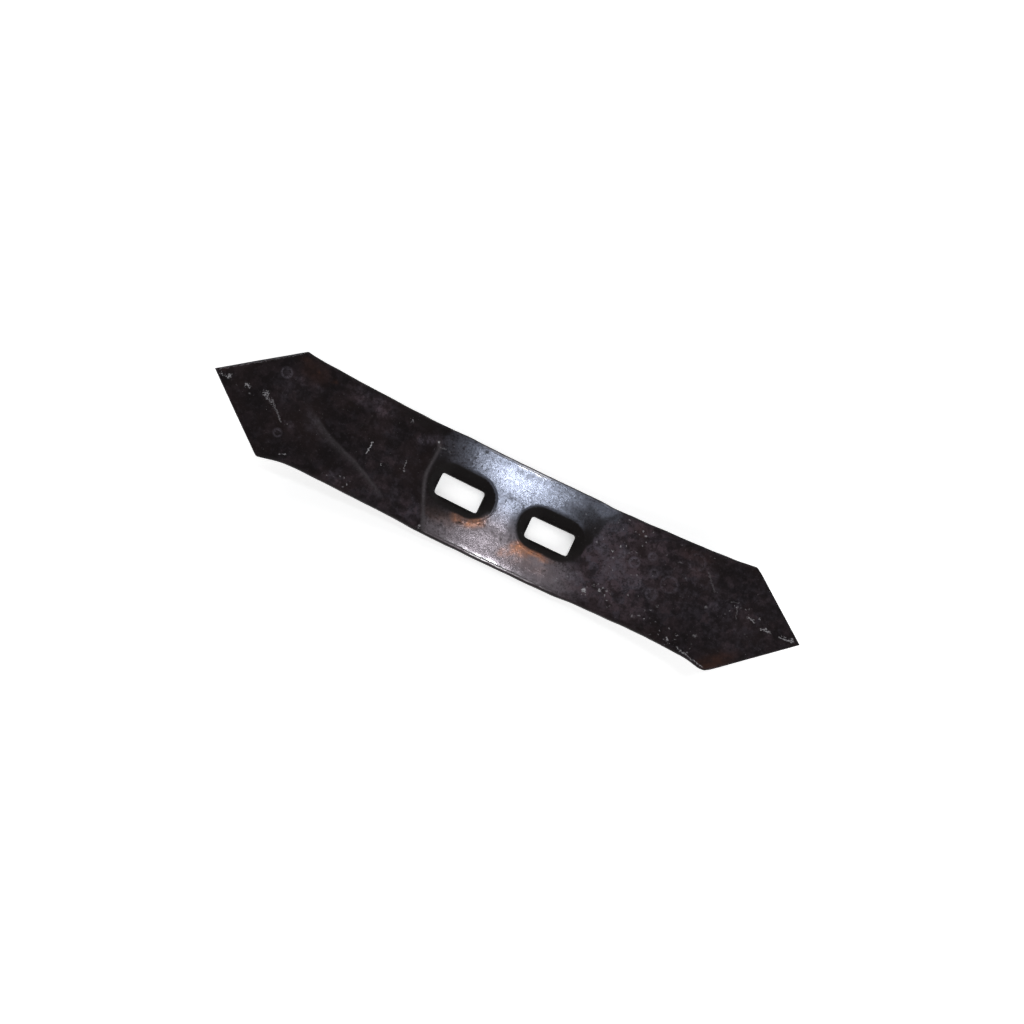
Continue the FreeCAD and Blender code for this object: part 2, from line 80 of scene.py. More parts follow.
class Signal:
    """A shader socket that takes part in sums as a plain number does."""

    def __init__(self, bench: "FinishBench", socket: bpy.types.NodeSocket) -> None:
        """Keep the socket and the bench that its material is made on."""
        self.bench = bench
        self.socket = socket

    def _reckon(self, operation: str, *operands: "Signal | float") -> "Signal":
        """Return what one Math node makes of its inputs."""
        return self.bench.add("ShaderNodeMath", {"operation": operation}, dict(enumerate(operands)))

    def __add__(self, other: "Signal | float") -> "Signal":
        """Return the sum."""
        return self._reckon("ADD", self, other)

    def __sub__(self, other: "Signal | float") -> "Signal":
        """Return the difference."""
        return self._reckon("SUBTRACT", self, other)

    def __rsub__(self, other: float) -> "Signal":
        """Return the number less this signal."""
        return self._reckon("SUBTRACT", other, self)

    def __mul__(self, other: "Signal | float") -> "Signal":
        """Return the product."""
        return self._reckon("MULTIPLY", self, other)

    __radd__ = __add__
    __rmul__ = __mul__

    def at_most(self, other: "Signal | float") -> "Signal":
        """Return the smaller of the two."""
        return self._reckon("MINIMUM", self, other)

    def at_least(self, other: "Signal | float") -> "Signal":
        """Return the larger of the two."""
        return self._reckon("MAXIMUM", self, other)

    def size(self) -> "Signal":
        """Return the value without its sign."""
        return self._reckon("ABSOLUTE", self)

    def rise(self, low: float, high: float) -> "Signal":
        """Return 0 below low, 1 above high, and a smooth step between them."""
        inputs = {"Value": self, "From Min": low, "From Max": high}
        return self.bench.add("ShaderNodeMapRange", {"interpolation_type": "SMOOTHSTEP"}, inputs)


class FinishBench:
    """Builds the nodes of one material or of the surroundings."""

    def __init__(self, owner: bpy.types.Material | bpy.types.World) -> None:
        """Start with no nodes.

        Args:
            owner: The material or world that the nodes belong to.
        """
        owner.use_nodes = True
        self.tree = owner.node_tree
        self.tree.nodes.clear()

    def add(
        self,
        kind: str,
        settings: dict[str, object] | None = None,
        inputs: dict[str | int, object] | None = None,
        output: str | int = 0,
    ) -> Signal:
        """Add a node, set it up and feed its sockets.

        Args:
            kind: The node's type.
            settings: Its properties, set before its sockets.
            inputs: Values or signals for its sockets, by name or number.
            output: The socket that is handed on.

        Returns:
            The chosen output.
        """
        node = self.tree.nodes.new(kind)
        for name, value in (settings or {}).items():
            setattr(node, name, value)
        for name, value in (inputs or {}).items():
            if isinstance(value, Signal):
                self.tree.links.new(value.socket, node.inputs[name])
            else:
                node.inputs[name].default_value = value
        return Signal(self, node.outputs[output] if node.outputs else None)

    def blend(self, mask: Signal | float, below: Signal | Colour, above: Signal | Colour) -> Signal:
        """Lay one colour over another.

        Args:
            mask: How much of the upper colour shows.
            below: The lower colour.
            above: The upper colour.

        Returns:
            The blended colour.
        """
        colours = [value if isinstance(value, Signal) else (*value, 1.0) for value in (below, above)]
        inputs = {0: mask, 6: colours[0], 7: colours[1]}
        return self.add("ShaderNodeMix", {"data_type": "RGBA"}, inputs, output=2)

    def place(self) -> Signal:
        """Return the point on the piece in millimetres."""
        metres = self.add("ShaderNodeTexCoord", output="Object")
        return self.vector("MULTIPLY", metres, (1 / MM, 1 / MM, 1 / MM))

    def grain(self, place: Signal, grain: "Grain") -> Signal:
        """Return soft random variation about one half, read at a place in millimetres."""
        kind = {"Scale": grain.scale, "Detail": grain.detail, "Roughness": grain.roughness}
        return self.add("ShaderNodeTexNoise", inputs={"Vector": place, **kind})

    def painted(self, layer: Layer) -> Signal:
        """Return the weight of one painted layer."""
        settings = {"attribute_type": "GEOMETRY", "attribute_name": layer.value}
        return self.add("ShaderNodeAttribute", settings, output="Fac")

    def vector(self, operation: str, *operands: "Signal | Triple", output: str = "Vector") -> Signal:
        """Return the vector, or the number from Value, that one Vector Math node makes of its inputs."""
        inputs = dict(enumerate(operands))
        return self.add("ShaderNodeVectorMath", {"operation": operation}, inputs, output)

    def near_point(self, plan: Signal, centre: Pair) -> Signal:
        """Return the distance to a point, in plan and in millimetres."""
        return self.vector("DISTANCE", plan, (*centre, 0.0), output="Value")

    def near_line(self, plan: Signal, start: Pair, end: Pair) -> Signal:
        """Return the distance to a straight line between two points.

        Args:
            plan: The point on the piece in plan, in millimetres.
            start: The line's first point.
            end: The line's last point.

        Returns:
            The distance in millimetres.
        """
        run = Vector((end[0] - start[0], end[1] - start[1], 0.0))
        way = run.normalized()
        off = self.vector("SUBTRACT", plan, (*start, 0.0))
        along = self.vector("DOT_PRODUCT", off, way, output="Value").at_least(0.0).at_most(run.length)
        return self.vector("DISTANCE", off, self.vector("MULTIPLY", way, along), output="Value")


def records(kind: Callable, *rows: Sequence) -> tuple:
    """Make a record of each row of values."""
    return tuple(kind(*row) for row in rows)


@dataclass(frozen=True)
class Patch:
    """An oval on the front face, in millimetres and degrees. Firmness sets how sharp its edge is."""

    x: float
    y: float
    along: float
    across: float
    strength: float = 1.0
    turn: float = 0.0
    firmness: float = 1.5

    def weight(self, x: Field, y: Field) -> Field:
        """Tell how strongly the patch shows at some points.

        Args:
            x: The places along the blade, in millimetres.
            y: The places across it.

        Returns:
            The patch's strength in the middle, falling to nothing outside.
        """
        angle = math.radians(self.turn)
        dx, dy = x - self.x, y - self.y
        u = (dx * math.cos(angle) + dy * math.sin(angle)) / self.along
        v = (dy * math.cos(angle) - dx * math.sin(angle)) / self.across
        return self.strength * np.exp(-((u * u + v * v) ** self.firmness))


@dataclass(frozen=True)
class Trail:
    """A line on the front face, through points in millimetres. A border has no height."""

    points: tuple[Pair, ...]
    width: float
    height: float = 0.0

    def nearest(self, x: Field, y: Field) -> tuple[Field, Field, Field]:
        """Find the nearest places on the line.

        Args:
            x: The places along the blade, in millimetres.
            y: The places across it.

        Returns:
            On which side of the line each point lies, 1 for the left and -1 for the right, how far
            along the line it is, from 0 to 1, and how far away from it in millimetres.
        """
        side, along, best = np.ones_like(x), np.zeros_like(x), np.full_like(x, np.inf)
        spans = len(self.points) - 1
        for number, ((x0, y0), (x1, y1)) in enumerate(zip(self.points, self.points[1:])):
            ex, ey = x1 - x0, y1 - y0
            share = np.clip(((x - x0) * ex + (y - y0) * ey) / (ex * ex + ey * ey), 0, 1)
            gap = np.hypot(x - x0 - share * ex, y - y0 - share * ey)
            nearer = gap < best
            best = np.where(nearer, gap, best)
            along = np.where(nearer, (number + share) / spans, along)
            side = np.where(nearer, np.sign(ex * (y - y0) - ey * (x - x0)), side)
        return side, along, best

    def ridge(self, x: Field, y: Field) -> Field:
        """Return 1 on the line, falling to 0 beside it."""
        return np.exp(-((self.nearest(x, y)[2] / self.width) ** 2))

    def left_of(self, x: Field, y: Field) -> Field:
        """Return 1 on the line's left side, 0 on its right, and a soft step between."""
        side, _, gap = self.nearest(x, y)
        return 0.5 + 0.5 * np.tanh(side * gap / self.width)


@dataclass(frozen=True)
class Nudge:
    """A local widening or narrowing of one long side, in millimetres.

    At a shoulder it may run on down the sloping edge, to nothing at the tip.
    """

    x: float
    side: int
    reach: float
    out: float = 0.0
    along: float = 0.0
    runs_on: bool = False

    def share(self, x: Field, y: Field, half_width: float) -> Field:
        """Tell how much of the nudge each point takes.

        Args:
            x: The places along the blade, in millimetres.
            y: The places across it.
            half_width: Half the blade's width in millimetres.

        Returns:
            1 at the nudge's own place on the edge, falling to 0 away from it.
        """
        gone = np.where(self.runs_on & (x * self.x > self.x**2), 0.0, x - self.x)
        hold = np.minimum(1.0, np.abs(y) / half_width) ** (1 if self.runs_on else 3)
        return np.exp(-((gone / self.reach) ** 2)) * hold * (self.side * y > 0)


@dataclass(frozen=True)
class Stain:
    """A dried drop on the scale, in millimetres: a disc and the rim round it."""

    x: float
    y: float
    radius: float
    rim: float
    fill: float


@dataclass(frozen=True)
class Fleck:
    """A small place where the scale has come off, in millimetres."""

    x: float
    y: float
    radius: float
    strength: float = 1.0


@dataclass(frozen=True)
class Scratch:
    """A thin scratch through the scale, in millimetres."""

    start: Pair
    end: Pair
    width: float
    strength: float


@dataclass(frozen=True)
class Swell:
    """One kind of unevenness: its height, and how far apart its swells are each way, in millimetres."""

    height: float
    size: Triple
    shift: float = 0.0


@dataclass(frozen=True)
class Grain:
    """A kind of soft random variation: its blotches for each millimetre, and its finer layers."""

    scale: float
    detail: float = 4.0
    roughness: float = 0.6


class Ground:
    """What the blade's finish reads at each point: its place, random variation and painted layers."""

    def __init__(self, bench: FinishBench, finish: "ForgeScale") -> None:
        """Add the nodes that several coats of the finish share.

        Args:
            bench: Where the material is made.
            finish: The finish.
        """
        self.bench = bench
        self.finish = finish
        self.place = bench.place()
        self.plan = bench.vector("MULTIPLY", self.place, (1, 1, 0))
        self.across = bench.add("ShaderNodeSeparateXYZ", inputs={0: self.place}, output="Y")
        self.bent = self.strayed()
        self.broad = bench.grain(self.place, finish.broad)
        self.blotch = bench.grain(self.place, finish.blotch)
        self.fine = bench.grain(self.place, finish.fine)
        self.pitted = bench.grain(self.place, finish.pits).rise(0.52, 0.64)
        self.chipped = bench.grain(self.place, finish.chips)
        self.streak = self.streaks()
        self.flake = self.flakes()
        self.layers = {layer: bench.painted(layer) for layer in Layer}

    def flakes(self) -> Signal:
        """Make the plates that the forge scale is broken into.

        Returns:
            A random value from 0 to 1 for each plate.
        """
        finish = self.finish
        inputs = {"Vector": self.place, "Scale": finish.plate_drift_scale}
        drift = self.bench.add("ShaderNodeTexNoise", inputs=inputs, output="Color")
        bent = self.bench.vector("MULTIPLY_ADD", drift, (finish.plate_drift,) * 3, self.place)
        inputs = {"Vector": bent, "Scale": finish.plate_scale}
        cell = self.bench.add("ShaderNodeTexVoronoi", inputs=inputs, output="Color")
        return self.bench.add("ShaderNodeSeparateColor", inputs={0: cell})

    def streaks(self) -> Signal:
        """Make the fine streaks that rubbing left on the bare metal.

        Returns:
            A value about one half, drawn out along the streaks.
        """
        long = self.finish.streak_length
        turned = {"Rotation": (0.0, 0.0, self.finish.streak_turn), "Scale": (long, 1.0, long)}
        stretched = self.bench.add(
            "ShaderNodeMapping", {"vector_type": "TEXTURE"}, {"Vector": self.place, **turned}
        )
        return self.bench.grain(stretched, self.finish.streaks)

    def strayed(self) -> Signal:
        """Shift the plan a little at random, so that what is drawn on it has ragged edges.

        Returns:
            The shifted point.
        """
        reach = self.finish.stray
        inputs = {"Vector": self.plan, "Scale": self.finish.stray_scale}
        stray = self.bench.add("ShaderNodeTexNoise", inputs=inputs, output="Color")
        corner = self.bench.vector("SUBTRACT", self.plan, (reach, reach, 0))
        return self.bench.vector("MULTIPLY_ADD", stray, (2 * reach, 2 * reach, 0), corner)


@dataclass(frozen=True)
class ForgeScale:
    """The black forge scale on the steel, oily and blotched, with rust, heat colours, bare scars, painted
    shade in the recesses and painted highlights on the fold and the long edges.

    Its patterns are sized in millimetres, and the shares say how much each pattern counts in a mixture.
    """

    name: str = "forge_scale"
    black: Colour = (0.0034, 0.0018, 0.0023)
    brown: Colour = (0.0078, 0.0042, 0.0044)
    haze: Colour = (0.054, 0.045, 0.057)
    ruddy: Colour = (0.048, 0.034, 0.041)
    drop: Colour = (0.078, 0.068, 0.084)
    cool: Colour = (0.215, 0.232, 0.29)
    warm: Colour = (0.235, 0.205, 0.225)
    # Near-white metal of the edge strips, partly a painted highlight.
    polished_and_highlight: Colour = (0.66, 0.64, 0.66)
    temper: Colour = (0.35, 0.15, 0.078)
    rust: Colour = (0.03, 0.012, 0.008)
    bare: Colour = (0.38, 0.37, 0.39)
    # The lighter grey of the painted highlight on the fold's lit flank and of the line along the bead.
    crease_highlight: Colour = (0.062, 0.055, 0.06)
    # The near-black of dark scale patches and of the painted shade in the recesses.
    soot_and_shade_dark: Colour = (0.0062, 0.0048, 0.0048)
    broad: Grain = Grain(0.05, detail=5.0)
    blotch: Grain = Grain(0.28, roughness=0.62)
    fine: Grain = Grain(0.85, detail=1.5)
    pits: Grain = Grain(0.95, detail=2.0)
    chips: Grain = Grain(1.3, detail=2.0)
    streaks: Grain = Grain(0.9, detail=1.0)
    streak_turn: float = math.radians(-62)
    streak_length: float = 4.0
    plate_scale: float = 0.21
    plate_drift: float = 5.0
    plate_drift_scale: float = 0.4
    speck_scale: float = 0.85
    stray: float = 1.3
    stray_scale: float = 0.9
    cool_side: Pair = (-12.0, 6.0)
    rubbed_shares: tuple[float, ...] = (0.16, 0.34, 0.22)
    rubbed_level: float = 0.30
    pitted_share: float = 0.42
    mottle_shares: tuple[float, ...] = (0.14, 0.10, 0.16)
    relief_shares: tuple[float, ...] = (1.0, 0.3, 0.2, 0.25)
    relief: float = 0.010 * MM
    scar_metal: float = 0.8
    scuff_strength: float = 0.6
    stain_strength: float = 0.8
    matt: float = 0.58
    matt_blotches: float = 0.12
    shine: float = 0.39
    sheen: float = 0.10
    stains: tuple[Stain, ...] = records(
        Stain,
        (68, 5, 2.4, 0.8, 0.2), (60.8, 6.3, 1.9, 0.3, 0.7), (60, -1.5, 5.6, 0.3, 0.5),
        (72, -4, 3.3, 0.3, 0.5), (75, 11.5, 1.8, 0.6, 0.2), (45, -14.5, 3.4, 0.4, 0.3),
        (88, 2, 4, 0.42, 0), (52, 4, 2.6, 0.3, 0.4), (96, 18, 4.2, 0.32, 0.1), (82, -6, 2.8, 0.4, 0.2),
        (79, 4, 2, 0.4, 0.2), (-126.5, 13, 2.4, 0.5, 0.2), (-118, -15, 1.8, 0.4, 0.1),
    )
    flecks: tuple[Fleck, ...] = records(
        Fleck,
        (51, -18.4, 1.2), (58.2, -15, 1), (59.2, -13.2, 0.7, 0.7), (61.6, -13.6, 0.6, 0.7),
        (54.5, -13.6, 0.6, 0.5), (56, 5.6, 0.6), (58.6, 9.5, 0.6, 0.8), (61.3, 11.2, 0.6, 0.8),
        (87, -10.4, 0.6, 0.7), (88.6, 14.6, 0.9, 0.35), (108.7, -0.7, 0.8, 0.5), (109.4, -16.2, 1.2, 0.5),
        (134.7, 4.8, 0.6, 0.7), (138.9, 0.7, 0.8, 0.8), (152.9, 1.2, 0.9), (77.5, -20.1, 0.8, 0.5),
        (80.5, -18.3, 0.7, 0.6), (97.7, -23.4, 0.8, 0.8), (-45.9, 17.4, 0.8), (-38.9, 15.4, 0.6, 0.6),
        (-62, 20.3, 0.9, 0.4), (-131, -0.8, 1.3, 0.35), (-149.4, -0.9, 0.9, 0.8), (-37, -24.6, 0.7, 0.7),
    )
    scratches: tuple[Scratch, ...] = records(
        Scratch,
        ((-127.5, -1.5), (-119, -9.5), 0.6, 0.4), ((-113, -24), (-110, -22.5), 0.5, 0.6),
        ((-75.2, 2), (-75.8, -4.5), 0.5, 0.9), ((-56.3, 1.5), (-56, -3), 0.45, 0.6),
        ((-154.8, 0), (-123.8, 24.6), 0.5, 0.35), ((-44.1, 15.1), (-40.8, 16), 0.6, 0.3),
        ((129.3, 3.2), (133.2, 2.2), 0.7, 0.75), ((137.2, 0.5), (142.2, 0.7), 0.5, 0.7),
        ((146.8, 0.5), (154, 1.2), 0.5, 0.8), ((119, 7), (122.6, 8), 0.5, 0.35),
        ((122.6, 6.5), (124.2, 0), 0.5, 0.3), ((103, 16), (109.5, 8.2), 0.6, 0.22),
        # The two scratches below run along the lower right edge: partly wear, partly painted highlight on
        # its rounded edge.
        ((104, -25.2), (112, -27.4), 0.5, 0.7), ((112, -27.4), (118.5, -28.8), 0.5, 0.8),
    )

    def make(self) -> bpy.types.Material:
        """Build the material.

        Returns:
            The finished material.
        """
        material = bpy.data.materials.new(self.name)
        bench = FinishBench(material)
        ground = Ground(bench, self)
        burnish, soot_and_shade, worn = self.burnished(ground), self.sooted_and_shaded(ground), self.worn(ground)
        # Where the black layer lies, painted recess shade included, the metal is made dull and not
        # metallic.
        metal = burnish * (1 - soot_and_shade)
        gloss = self.shine * burnish.rise(0.05, 0.5) * (1 - soot_and_shade)
        height = mixed(self.relief_shares, (ground.blotch, ground.fine, ground.streak, ground.flake))
        bump = {"Distance": self.relief, "Height": height}
        shader = bench.add(
            "ShaderNodeBsdfPrincipled",
            inputs={
                "Base Color": self.coloured(ground, burnish, soot_and_shade, worn),
                "Metallic": metal.at_least(self.scar_metal * worn),
                "Roughness": self.matt + self.matt_blotches * ground.blotch - gloss,
                "Specular IOR Level": self.sheen,
                "Normal": bench.add("ShaderNodeBump", inputs=bump),
            },
        )
        bench.add("ShaderNodeOutputMaterial", inputs={"Surface": shader})
        return material

    def coloured(self, ground: Ground, burnish: Signal, soot_and_shade: Signal, worn: Signal) -> Signal:
        """Lay the coats' colours over one another.

        Args:
            ground: What the finish reads.
            burnish: Where the metal is rubbed bare.
            soot_and_shade: Where it is black: dark patches, and painted shade in the bolt-head recesses.
            worn: Where the scale has chipped off.

        Returns:
            The colour.
        """
        bench, layers, fine = ground.bench, ground.layers, ground.fine
        bright = bench.blend(ground.across.rise(*self.cool_side), self.warm, self.cool)
        # The edge strips get a near-white metal colour: partly polished metal, partly painted highlight.
        bright = bench.blend(layers[Layer.POLISH_AND_HIGHLIGHT] * fine.rise(0.15, 0.4), bright, self.polished_and_highlight)
        dusty = (0.5 * ground.flake + 0.5 * ground.broad).rise(0.35, 0.65)
        dust = bench.blend(dusty, self.haze, self.ruddy)
        grains = (ground.blotch.rise(0.45, 0.70), ground.flake.rise(0.5, 1.0), fine.rise(0.55, 0.75))
        ragged = 0.5 + ground.blotch.rise(0.34, 0.66)
        coats = (
            (mixed(self.mottle_shares, grains), dust),
            (self.hazed(ground), dust),
            (self.stained(ground) * self.stain_strength, self.drop),
            (burnish, bright),
            (layers[Layer.RUST] * ragged, self.rust),
            (layers[Layer.TEMPER] * ragged * (0.55 + 0.75 * fine), self.temper),
            # Painted highlight on the fold's lower-left flank, and a lighter line along the bead.
            (layers[Layer.CREASE] * (0.45 + fine), self.crease_highlight),
            # Painted shade: black laid in and round the bolt-head recesses and on their rims, with dark
            # patches elsewhere.
            (soot_and_shade, self.soot_and_shade_dark),
            (worn, self.bare),
        )
        colour = bench.blend(ground.broad.rise(0.40, 0.66), self.black, self.brown)
        for mask, coat in coats:
            colour = bench.blend(mask, colour, coat)
        return colour

    def burnished(self, ground: Ground) -> Signal:
        """Make the places that are rubbed bare and bright, with their streaks and pits.

        Args:
            ground: What the finish reads.

        Returns:
            1 on the barest metal, 0 elsewhere.
        """
        streak, fine = ground.streak.rise(0.3, 0.7), ground.fine.rise(0.36, 0.64)
        rubbed = mixed(self.rubbed_shares, (streak, fine, ground.blotch.rise(0.35, 0.65)))
        uneven = rubbed - self.rubbed_level - self.pitted_share * ground.pitted
        painted = ground.layers[Layer.BURNISH]
        return (painted * (0.90 + uneven * (1.40 - painted))).at_most(1.0)

    def sooted_and_shaded(self, ground: Ground) -> Signal:
        """Make the black layer, dark patches and painted recess shade, which is patchy where it is thin.
        """
        soot_and_shade = ground.layers[Layer.SOOT_AND_SHADE]
        return (soot_and_shade * (1 + 3 * (ground.blotch - 0.5) * (1 - soot_and_shade))).at_most(1.0)

    def hazed(self, ground: Ground) -> Signal:
        """Make the cloudy grey bloom on the scale.

        Args:
            ground: What the finish reads.

        Returns:
            How much of the bloom shows.
        """
        cloudy = (0.35 + 1.3 * ground.blotch.rise(0.36, 0.64)) * (0.65 + 0.7 * ground.flake)
        clear = 1.08 - 0.5 * ground.pitted
        return (ground.layers[Layer.HAZE] * cloudy * clear).at_most(1.0) * (0.5 + ground.fine)

    def worn(self, ground: Ground) -> Signal:
        """Make every place where the scale has chipped or been scratched off."""
        scuff = (ground.layers[Layer.SCUFF] + 2.2 * (ground.chipped - 0.5)).rise(0.42, 0.85)
        return self.specks(ground).at_least(scuff * self.scuff_strength).at_least(self.marks(ground))

    def specks(self, ground: Ground) -> Signal:
        """Make small bright chips in the scale.

        Args:
            ground: What the finish reads.

        Returns:
            Up to one half on a chip, 0 elsewhere.
        """
        flat = ground.bench.vector("MULTIPLY_ADD", ground.place, (0, 0, 0.35), ground.bent)
        inputs = {"Vector": flat, "Scale": self.speck_scale}
        away = ground.bench.add("ShaderNodeTexVoronoi", inputs=inputs)
        cell = ground.bench.add("ShaderNodeTexVoronoi", inputs=inputs, output="Color")
        chance = ground.bench.add("ShaderNodeSeparateColor", inputs={0: cell})
        chip = 1 - away.rise(0.14, 0.46)
        return 0.5 * chip * (chance + 0.2 * ground.layers[Layer.SPECKLE]).rise(0.985, 1.06)

    def marks(self, ground: Ground) -> Signal:
        """Make the single flecks and scratches on the front.

        Args:
            ground: What the finish reads.

        Returns:
            1 on the strongest mark, 0 elsewhere.
        """
        total: Signal | float = 0.0
        for fleck in self.flecks:
            off = ground.bench.near_point(ground.bent, (fleck.x, fleck.y))
            shown = 1 - off.rise(0.2 * fleck.radius, 1.3 * fleck.radius)
            total = (fleck.strength * shown).at_least(total)
        for scratch in self.scratches:
            off = ground.bench.near_line(ground.bent, scratch.start, scratch.end)
            shown = 1 - off.rise(0.1 * scratch.width, scratch.width)
            total = (scratch.strength * shown).at_least(total)
        broken = ground.chipped.rise(0.31, 0.51) * ground.layers[Layer.FRONT]
        return total * (0.35 + 0.65 * total) * broken

    def stained(self, ground: Ground) -> Signal:
        """Make the marks that drops left on the front.

        Args:
            ground: What the finish reads.

        Returns:
            1 on the strongest mark, 0 elsewhere.
        """
        total: Signal | float = 0.0
        ragged = 1.6 * (ground.fine - 0.5)
        for stain in self.stains:
            off = ground.bench.near_point(ground.plan, (stain.x, stain.y)) - stain.radius + ragged
            rim = stain.rim * (1 - off.size().rise(0.25, 0.95))
            total = (rim + stain.fill * (1 - off.rise(-0.4, 0.5))).at_least(total)
        return total * (0.3 + 0.7 * ground.fine.rise(0.36, 0.6)) * ground.layers[Layer.FRONT]


@dataclass(frozen=True)
class PaleFloor:
    """A plain white floor that keeps the blade's shadow and turns pure white further out."""

    name: str = "pale_floor"
    colour: Colour = (0.86, 0.86, 0.86)
    roughness: float = 0.9
    glow_near: float = 0.51
    glow_far: float = 1.0
    near: float = 0.28
    far: float = 0.9

    def make(self) -> bpy.types.Material:
        """Build the material.

        Returns:
            The finished material.
        """
        material = bpy.data.materials.new(self.name)
        bench = FinishBench(material)
        away = bench.near_point(bench.place(), (0.0, 0.0))
        further = away.rise(self.near / MM, self.far / MM)
        glow = self.glow_near + (self.glow_far - self.glow_near) * further
        seen: Signal | float = 0.0
        for ray in ("Is Camera Ray", "Is Glossy Ray", "Is Transmission Ray"):
            seen = bench.add("ShaderNodeLightPath", output=ray).at_least(seen)
        shader = bench.add(
            "ShaderNodeBsdfPrincipled",
            inputs={
                "Base Color": (*self.colour, 1.0),
                "Roughness": self.roughness,
                "Specular IOR Level": 0.0,
                "Emission Color": bench.blend(glow * seen, (0.0, 0.0, 0.0), (1.0, 1.0, 1.0)),
                "Emission Strength": 1.0,
            },
        )
        bench.add("ShaderNodeOutputMaterial", inputs={"Surface": shader})
        return material


@dataclass
class ForgedBlade:
    """The blade itself: its sizes in metres, and the marks on its front face in millimetres."""

    node: str = "point_blade"
    half_length: float = 0.157
    shoulder: float = 0.121
    mid_thickness: float = 0.008
    tip_thickness: float = 0.0032
    bend_radius: float = 0.320
    arm_slope: float = math.radians(10.8)
    half_width: float = 0.02695
    merge_gap: float = 0.000002
    flat_angle: float = 0.002
    sharp_angle: float = math.radians(42)
    cut_reach: Pair = (0.1568, 0.0285)
    grid: float = 0.0009
    fine_grid: float = 0.0007
    slot_zone_x: Pair = (0.006, 0.046)
    slot_zone_y: float = 0.0145
    slot_centre: float = 0.0248
    seat_straight: float = 0.0062
    seat_radius: float = 0.0101
    # Sizes of the painted shade in and round the bolt-head recesses and on their steep rims.
    recess_shade_reach: float = 0.0013
    recess_shade_shift: Pair = (-0.0009, 0.0006)
    rim_shade_lean: Pair = (0.86, 0.92)
    rim_shade_reach: float = 3.0
    rim_shade_side: Pair = (-0.007, -0.002)
    back_clear: float = 0.0005
    front_lean: Pair = (0.60, 0.84)
    front_depth: float = 0.0025
    left_tip_drop: float = -0.0009
    right_tip_rise: float = 0.0014
    right_tip_reach: float = 0.0005
    edge_waver: float = 0.18
    edge_waver_length: float = 9.0
    paint_stray: Pair = (1.6, 1.2)
    paint_stray_length: float = 5.0
    hammered: tuple[Swell, ...] = (
        Swell(0.10, (34, 22, 22)),
        Swell(0.045, (9, 7, 7), 40),
        Swell(0.018, (2.6, 2.6, 2.6), 80),
    )
    crown: float = 0.13
    crown_reach: Pair = (55.0, 26.0)
    lip: Patch = Patch(1, -26.4, 20, 1.9, strength=0.13, firmness=1)
    nudges: tuple[Nudge, ...] = (
        Nudge(-121, 1, 14, out=-1.2, along=-0.6, runs_on=True),
        Nudge(-121, -1, 7, out=1.1, along=-1.0, runs_on=True),
        Nudge(-107, -1, 11, out=-0.5),
        Nudge(121, 1, 9, along=3.3, runs_on=True),
        Nudge(92, 1, 18, out=0.5),
        Nudge(103, -1, 13, out=0.75),
        Nudge(120, -1, 7, out=1.6, along=-0.6, runs_on=True),
        Nudge(121.5, -1, 1.6, out=-0.4),
        Nudge(122.5, 1, 1.8, out=-0.25),
    )
    fold: Trail = Trail(
        (
            (-110, 3), (-103, -1), (-95, -5.2), (-88, -7.6),
            (-79, -10.4), (-72, -13.6), (-65, -17), (-58, -20.5),
        ),
        width=5.0,
        height=0.14,
    )
    fold_sides: Pair = (0.45, 2.2)
    # Strength of the painted highlight along the fold, at its start and at its end.
    fold_tint: Pair = (0.26, 0.56)
    bead_tint: float = 0.8
    bead: Trail = Trail(
        (
            (-45.8, 17.2), (-44.1, 15), (-44.5, 8), (-44.8, 0.2), (-43.9, -3.4), (-42.7, -6.9),
            (-40.9, -11), (-39.4, -14.6), (-36.8, -19.7), (-35.5, -23.4), (-34.5, -25.6),
        ),
        width=0.9,
        height=0.13,
    )
    burnish_border: Trail = Trail(
        (
            (-40.5, 30), (-42, 25), (-44, 21), (-44.1, 15),
            (-44.8, 0), (-42, -9), (-39, -15.5), (-33.5, -28),
        ),
        width=0.9,
    )
    haze_border: Trail = Trail(
        ((8, -13), (30, -13.5), (38, -10), (40.5, -5), (43, 0), (45, 5), (46.5, 12), (49, 18), (54, 24)),
        width=0.7,
    )

    def front_height(self, x: Field) -> Field:
        """Return the height of the front face at places along the blade."""
        on_bend = np.minimum(np.abs(x), self.bend_radius * math.sin(self.arm_slope))
        rise = self.bend_radius - np.sqrt(self.bend_radius**2 - on_bend**2)
        return self.mid_thickness + rise + (np.abs(x) - on_bend) * math.tan(self.arm_slope)

    def back_height(self, x: Field) -> Field:
        """Return the height of the back face at places along the blade.

        The arms' straight backs run tangent to the bend and thin the metal to its size at the tips.

        Args:
            x: The places along the blade, in metres.

        Returns:
            The heights in metres.
        """
        radius = self.bend_radius + self.mid_thickness
        tip_x = self.half_length + self.tip_thickness * math.sin(self.arm_slope)
        tip_z = self.front_height(self.half_length) - self.tip_thickness * math.cos(self.arm_slope)
        away = math.hypot(tip_x, tip_z - radius)
        turn = math.atan2(tip_x, radius - tip_z) - math.acos(radius / away)
        on_bend = np.minimum(np.abs(x), radius * math.sin(turn))
        return radius - np.sqrt(radius**2 - on_bend**2) + (np.abs(x) - on_bend) * math.tan(turn)

